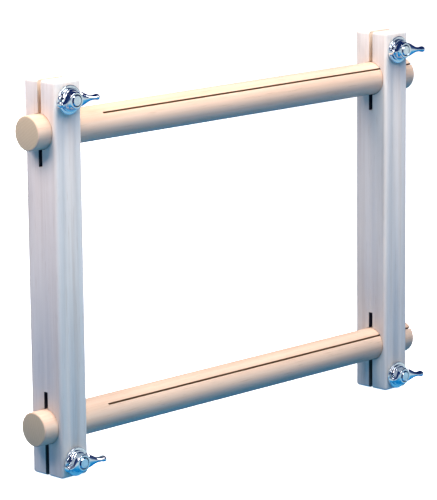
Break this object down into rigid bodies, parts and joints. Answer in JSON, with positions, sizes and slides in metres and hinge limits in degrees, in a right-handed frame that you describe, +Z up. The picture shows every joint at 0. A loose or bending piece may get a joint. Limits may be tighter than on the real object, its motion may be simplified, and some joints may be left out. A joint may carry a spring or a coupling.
{
  "type": "needlework scroll frame",
  "caption": "Small upright needlework scroll frame: two wooden side bars clamp two round split rails with carriage bolts, washers and wing nuts.",
  "frame": {"origin": "under the middle of the frame, on the surface that the two side bars stand on", "axes": "+X along the rails from the left side bar to the right one, +Y from the wing nuts to the bolt heads, +Z up"},
  "size_m": [0.3, 0.038, 0.2159],
  "materials": {
    "bar_wood": "sanded, unfinished pale hardwood",
    "rail_wood": "smooth turned hardwood dowel",
    "zinc_plate": "bright zinc plate"
  },
  "bodies": {
    "left_side": {"left_side_bar": "bar_wood", "upper_left_carriage_bolt": "zinc_plate", "lower_left_carriage_bolt": "zinc_plate"},
    "right_side": {"right_side_bar": "bar_wood", "upper_right_carriage_bolt": "zinc_plate", "lower_right_carriage_bolt": "zinc_plate"},
    "upper_rail": {"upper_rail": "rail_wood"},
    "lower_rail": {"lower_rail": "rail_wood"},
    "upper_left_washer": {"upper_left_washer": "zinc_plate"},
    "upper_left_wing_nut": {"upper_left_wing_nut": "zinc_plate"},
    "lower_left_washer": {"lower_left_washer": "zinc_plate"},
    "lower_left_wing_nut": {"lower_left_wing_nut": "zinc_plate"},
    "upper_right_washer": {"upper_right_washer": "zinc_plate"},
    "upper_right_wing_nut": {"upper_right_wing_nut": "zinc_plate"},
    "lower_right_washer": {"lower_right_washer": "zinc_plate"},
    "lower_right_wing_nut": {"lower_right_wing_nut": "zinc_plate"}
  },
  "joints": [
    {"name": "right_side_slide", "type": "slide", "parent": "left_side", "child": "right_side", "axis": [1, 0, 0], "range_m": [-0.2, 0.009]},
    {"name": "upper_rail_roll", "type": "hinge", "parent": "left_side", "child": "upper_rail", "pos_m": [0, 0.0035, 0.1884], "axis": [1, 0, 0], "continuous": true},
    {"name": "lower_rail_roll", "type": "hinge", "parent": "left_side", "child": "lower_rail", "pos_m": [0, 0.0035, 0.0275], "axis": [1, 0, 0], "continuous": true},
    {"name": "upper_left_washer_travel", "type": "slide", "parent": "left_side", "child": "upper_left_washer", "axis": [0, -1, 0], "range_m": [0, 0.0026]},
    {"name": "upper_left_nut_turn", "type": "hinge", "parent": "upper_left_washer", "child": "upper_left_wing_nut", "pos_m": [-0.131, -0.0134, 0.2056], "axis": [0, -1, 0], "range_deg": [0, 720]},
    {"name": "lower_left_washer_travel", "type": "slide", "parent": "left_side", "child": "lower_left_washer", "axis": [0, -1, 0], "range_m": [0, 0.0026]},
    {"name": "lower_left_nut_turn", "type": "hinge", "parent": "lower_left_washer", "child": "lower_left_wing_nut", "pos_m": [-0.131, -0.0134, 0.0086], "axis": [0, -1, 0], "range_deg": [0, 720]},
    {"name": "upper_right_washer_travel", "type": "slide", "parent": "right_side", "child": "upper_right_washer", "axis": [0, -1, 0], "range_m": [0, 0.0026]},
    {"name": "upper_right_nut_turn", "type": "hinge", "parent": "upper_right_washer", "child": "upper_right_wing_nut", "pos_m": [0.131, -0.0134, 0.2056], "axis": [0, -1, 0], "range_deg": [0, 720]},
    {"name": "lower_right_washer_travel", "type": "slide", "parent": "right_side", "child": "lower_right_washer", "axis": [0, -1, 0], "range_m": [0, 0.0026]},
    {"name": "lower_right_nut_turn", "type": "hinge", "parent": "lower_right_washer", "child": "lower_right_wing_nut", "pos_m": [0.131, -0.0134, 0.0086], "axis": [0, -1, 0], "range_deg": [0, 720]}
  ],
  "couplings": [
    {"joint": "upper_left_washer_travel", "follows": "upper_left_nut_turn", "m_per_rad": 0.00020213},
    {"joint": "lower_left_washer_travel", "follows": "lower_left_nut_turn", "m_per_rad": 0.00020213},
    {"joint": "upper_right_washer_travel", "follows": "upper_right_nut_turn", "m_per_rad": 0.00020213},
    {"joint": "lower_right_washer_travel", "follows": "lower_right_nut_turn", "m_per_rad": 0.00020213}
  ]
}
